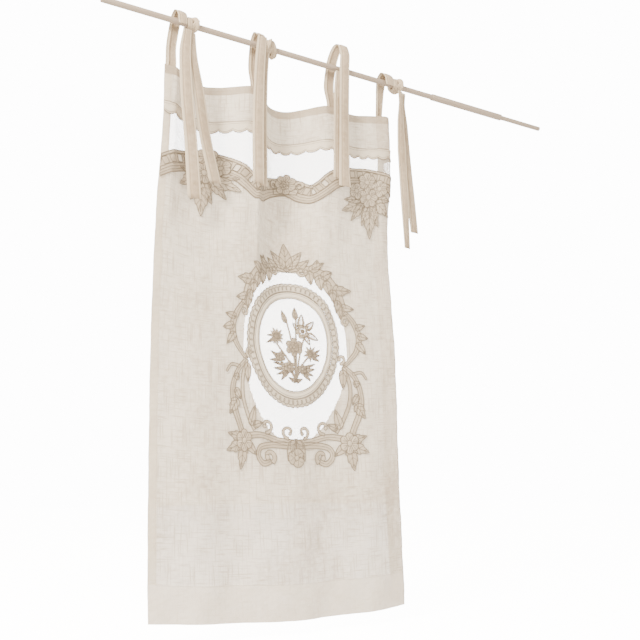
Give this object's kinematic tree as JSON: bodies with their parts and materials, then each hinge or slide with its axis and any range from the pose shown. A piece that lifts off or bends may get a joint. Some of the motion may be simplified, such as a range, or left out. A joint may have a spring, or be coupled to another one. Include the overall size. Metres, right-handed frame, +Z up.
{
  "type": "net curtain on a rod",
  "caption": "Semi-sheer linen curtain panel with net insets, lace trim and an embroidered medallion, hung by ribbon ties from a plain rod.",
  "frame": {"origin": "centre of the rod's left end face", "axes": "+X along the rod to its right end, -Y towards the room, +Z up"},
  "size_m": [1.3, 0.0911, 1.3862],
  "materials": {
    "linen": "semi-sheer plain weave with slubs, off-white",
    "net": "fine diamond net, off-white",
    "lace": "tape lace, beige with darker corded edges",
    "embroidery": "satin stitch embroidery, taupe",
    "ribbon": "woven cotton ribbon, beige",
    "rod": "satin paint, pale taupe"
  },
  "bodies": {
    "root": {"linen_panel": "linen", "net_heading": "net", "net_medallion": "net", "scalloped_band": "lace", "lace_border": "lace", "spray_left": "lace", "spray_right": "lace", "border_flower": "lace", "medallion_frame": "lace", "medallion_wreath": "lace", "medallion_ring": "lace", "bouquet": "embroidery", "tie_1_strap": "ribbon", "tie_2_strap": "ribbon", "tie_3_strap": "ribbon", "tie_4_strap": "ribbon", "tie_1_tail_a": "ribbon", "tie_1_tail_b": "ribbon", "tie_2_tail_a": "ribbon", "tie_2_tail_b": "ribbon", "tie_3_tail_a": "ribbon", "tie_3_tail_b": "ribbon", "tie_4_tail_a": "ribbon", "tie_4_tail_b": "ribbon", "tie_1_knot": "ribbon", "tie_2_knot": "ribbon", "tie_4_knot": "ribbon", "rod_tube": "rod", "rod_sleeve": "rod", "rod_end": "rod"}
  },
  "joints": []
}
